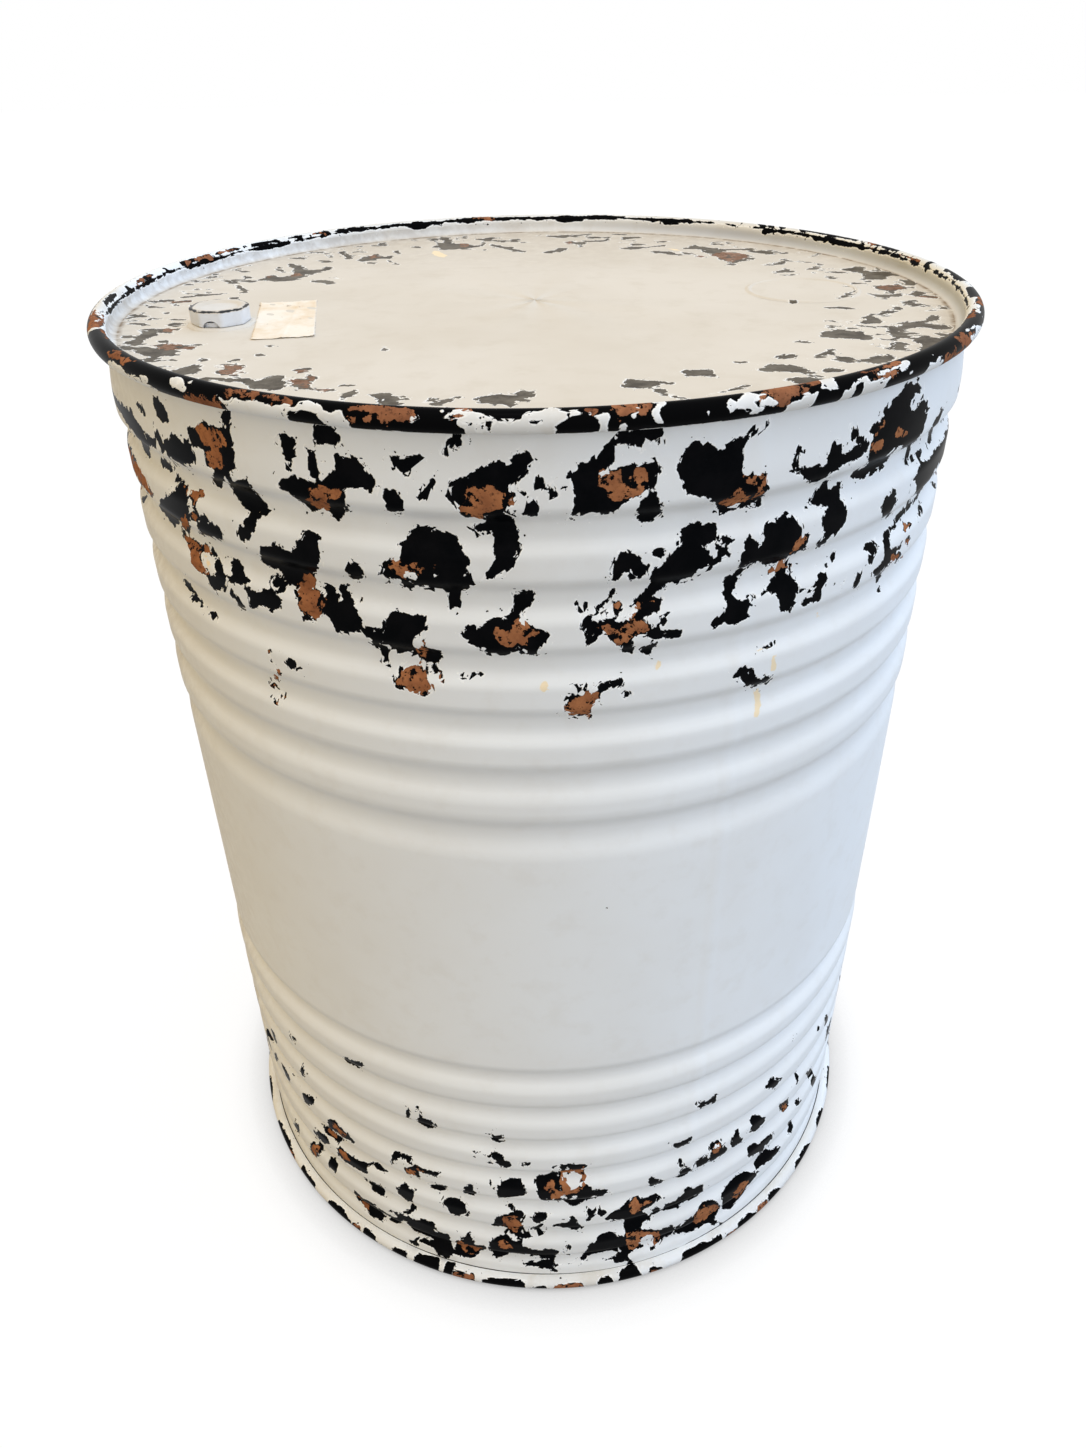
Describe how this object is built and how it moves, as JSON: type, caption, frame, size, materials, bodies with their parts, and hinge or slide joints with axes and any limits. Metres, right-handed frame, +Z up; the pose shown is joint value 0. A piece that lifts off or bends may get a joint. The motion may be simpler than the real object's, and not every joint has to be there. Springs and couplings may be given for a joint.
{
  "type": "rusty oil barrel",
  "caption": "Weathered white-painted steel drum with rolled grooves, round chimes, a sunken head and a small screw plug, for storing liquids.",
  "frame": {"origin": "centre of the drum's foot, on the ground", "axes": "+Z up along the drum's axis, -Y towards the viewer, +X to the viewer's right"},
  "size_m": [0.585, 0.585, 0.747],
  "materials": {
    "shell_paint": "semi-gloss white paint, chipped to black primer and brown rust",
    "top_head_paint": "dusty cream-white paint with grey and brown chips, black and rusty rim",
    "bottom_head_paint": "white paint with black and rusty rim",
    "flange_steel": "zinc-plated steel",
    "flange_gasket_rubber": "matt",
    "plug_gasket_rubber": "matt, off-white",
    "plug_paint": "semi-gloss white paint",
    "label_paper": "faded plain paper with stains"
  },
  "bodies": {
    "drum": {"drum_shell": "shell_paint", "top_head": "top_head_paint", "bottom_head": "bottom_head_paint", "bung_flange": "flange_steel", "flange_gasket": "flange_gasket_rubber", "paper_label": "label_paper"},
    "plug_lift": {"plug_gasket": "plug_gasket_rubber"},
    "plug": {"bung_plug": "plug_paint"}
  },
  "joints": [
    {"name": "plug_rise", "type": "slide", "parent": "drum", "child": "plug_lift", "axis": [0, 0, 1], "range_m": [0, 0.0091]},
    {"name": "plug_turn", "type": "hinge", "parent": "plug_lift", "child": "plug", "pos_m": [-0.20504, -0.05188, 0.7381], "axis": [0, 0, 1], "range_deg": [0, 1800]}
  ],
  "couplings": [
    {"joint": "plug_rise", "follows": "plug_turn", "m_per_rad": 0.00028871}
  ]
}
